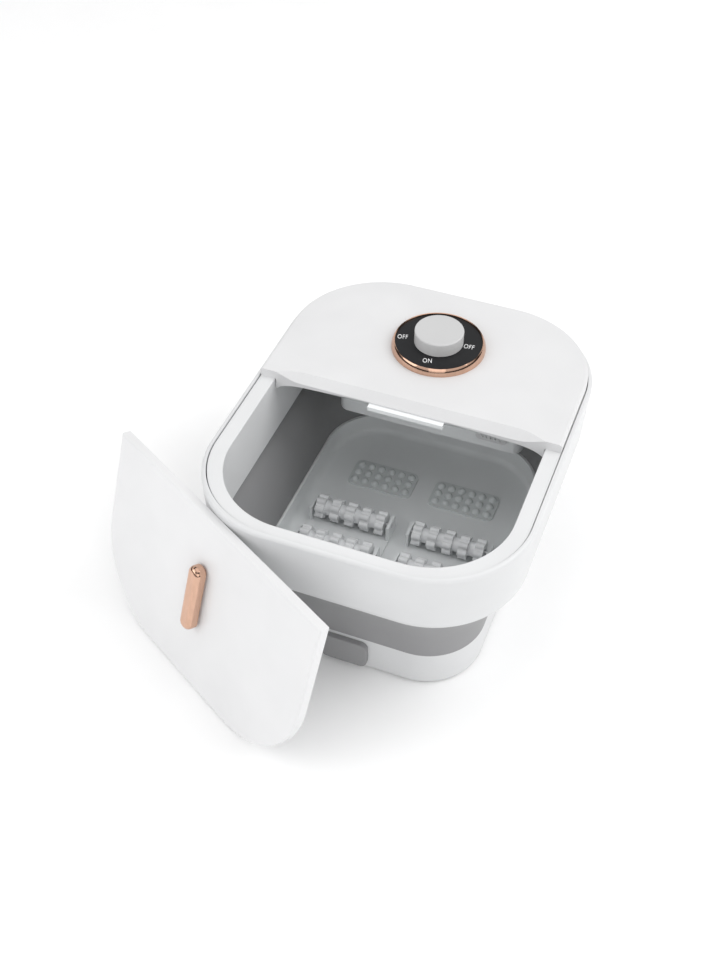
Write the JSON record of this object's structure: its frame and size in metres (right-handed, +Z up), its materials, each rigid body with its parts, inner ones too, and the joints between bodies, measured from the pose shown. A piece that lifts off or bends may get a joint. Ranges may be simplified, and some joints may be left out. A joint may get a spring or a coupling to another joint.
{
  "type": "foot spa basin",
  "caption": "Folding foot bath with a soft bellows wall, massage rollers, a control deck with a rotary dial, a front drain plug and a lift-off lid with a pill handle.",
  "frame": {"origin": "underside of the centre foot, on the floor under the middle of the basin's plan", "axes": "+X to the user's right, +Y from the user towards the control deck, +Z up"},
  "size_m": [0.4462, 0.5252, 0.241],
  "materials": {
    "casing_white": "satin moulded white",
    "frame_grey": "satin light grey",
    "pan_white": "satin pale grey",
    "bellows_grey": "matte soft grey",
    "roller_white": "satin white",
    "plug_grey": "matte grey",
    "seal_rubber": "matte black",
    "rose_gold": "polished rose gold",
    "dial_black": "satin black",
    "knob_white": "satin white",
    "screw_steel": "plated steel",
    "motor_steel": "drawn can",
    "black_plastic": "moulded black",
    "board_green": "coated circuit board",
    "pin_brass": "plated",
    "hose_rubber": "milky silicone",
    "lead_rubber": "sheathed lead"
  },
  "bodies": {
    "base": {"base_shell": "casing_white", "rubber_feet": "seal_rubber", "base_screws": "screw_steel", "tub_pan": "pan_white", "drain_gasket": "seal_rubber", "drain_spout": "black_plastic", "drain_nut": "black_plastic", "roller_tray_left": "pan_white", "roller_tray_right": "pan_white", "roller_axles": "screw_steel", "nub_pads": "hose_rubber", "bellows": "bellows_grey"},
    "upper": {"bellows_ring": "black_plastic", "outer_casing": "casing_white", "inner_frame": "frame_grey", "console_pan": "pan_white", "pump_motor": "motor_steel", "pump_head": "black_plastic", "pump_cradle": "black_plastic", "heater_tube": "motor_steel", "heater_clips": "black_plastic", "thermostat": "black_plastic", "intake_hose": "hose_rubber", "transfer_hose": "hose_rubber", "outlet_hose": "hose_rubber", "intake_grille": "frame_grey", "outlet_grille": "frame_grey", "control_board": "board_green", "board_parts": "black_plastic", "power_inlet": "black_plastic", "inlet_pins": "pin_brass", "power_leads": "lead_rubber", "rotary_switch": "black_plastic", "switch_nut": "screw_steel", "switch_leads": "lead_rubber", "deck_cover": "casing_white", "deck_screws": "screw_steel", "dial_ring": "rose_gold", "dial_plate": "dial_black"},
    "knob": {"knob": "knob_white", "switch_shaft": "screw_steel"},
    "plug": {"drain_plug": "plug_grey"},
    "lid": {"lid_shell": "casing_white", "lid_liner": "frame_grey", "lid_handle": "rose_gold", "handle_screws": "screw_steel"},
    "roller_front_left": {"roller_front_left": "roller_white"},
    "roller_front_right": {"roller_front_right": "roller_white"},
    "roller_rear_left": {"roller_rear_left": "roller_white"},
    "roller_rear_right": {"roller_rear_right": "roller_white"}
  },
  "joints": [
    {"name": "collapse", "type": "slide", "parent": "base", "child": "upper", "axis": [0, 0, -1], "range_m": [0, 0.083], "deforming": ["bellows"]},
    {"name": "knob_turn", "type": "hinge", "parent": "upper", "child": "knob", "pos_m": [0, 0.1065, 0.222], "axis": [0, 0, 1], "range_deg": [-90, 90]},
    {"name": "drain_plug_pull", "type": "slide", "parent": "base", "child": "plug", "axis": [0, -1, 0], "range_m": [0, 0.03]},
    {"name": "lid_lift", "type": "slide", "parent": "base", "child": "lid", "axis": [0, 0, 1], "range_m": [0, 0.3]},
    {"name": "roller_front_left_spin", "type": "hinge", "parent": "base", "child": "roller_front_left", "pos_m": [-0.058, -0.05, 0.037], "axis": [1, 0, 0], "continuous": true},
    {"name": "roller_front_right_spin", "type": "hinge", "parent": "base", "child": "roller_front_right", "pos_m": [0.058, -0.05, 0.037], "axis": [1, 0, 0], "continuous": true},
    {"name": "roller_rear_left_spin", "type": "hinge", "parent": "base", "child": "roller_rear_left", "pos_m": [-0.058, 0, 0.037], "axis": [1, 0, 0], "continuous": true},
    {"name": "roller_rear_right_spin", "type": "hinge", "parent": "base", "child": "roller_rear_right", "pos_m": [0.058, 0, 0.037], "axis": [1, 0, 0], "continuous": true}
  ]
}
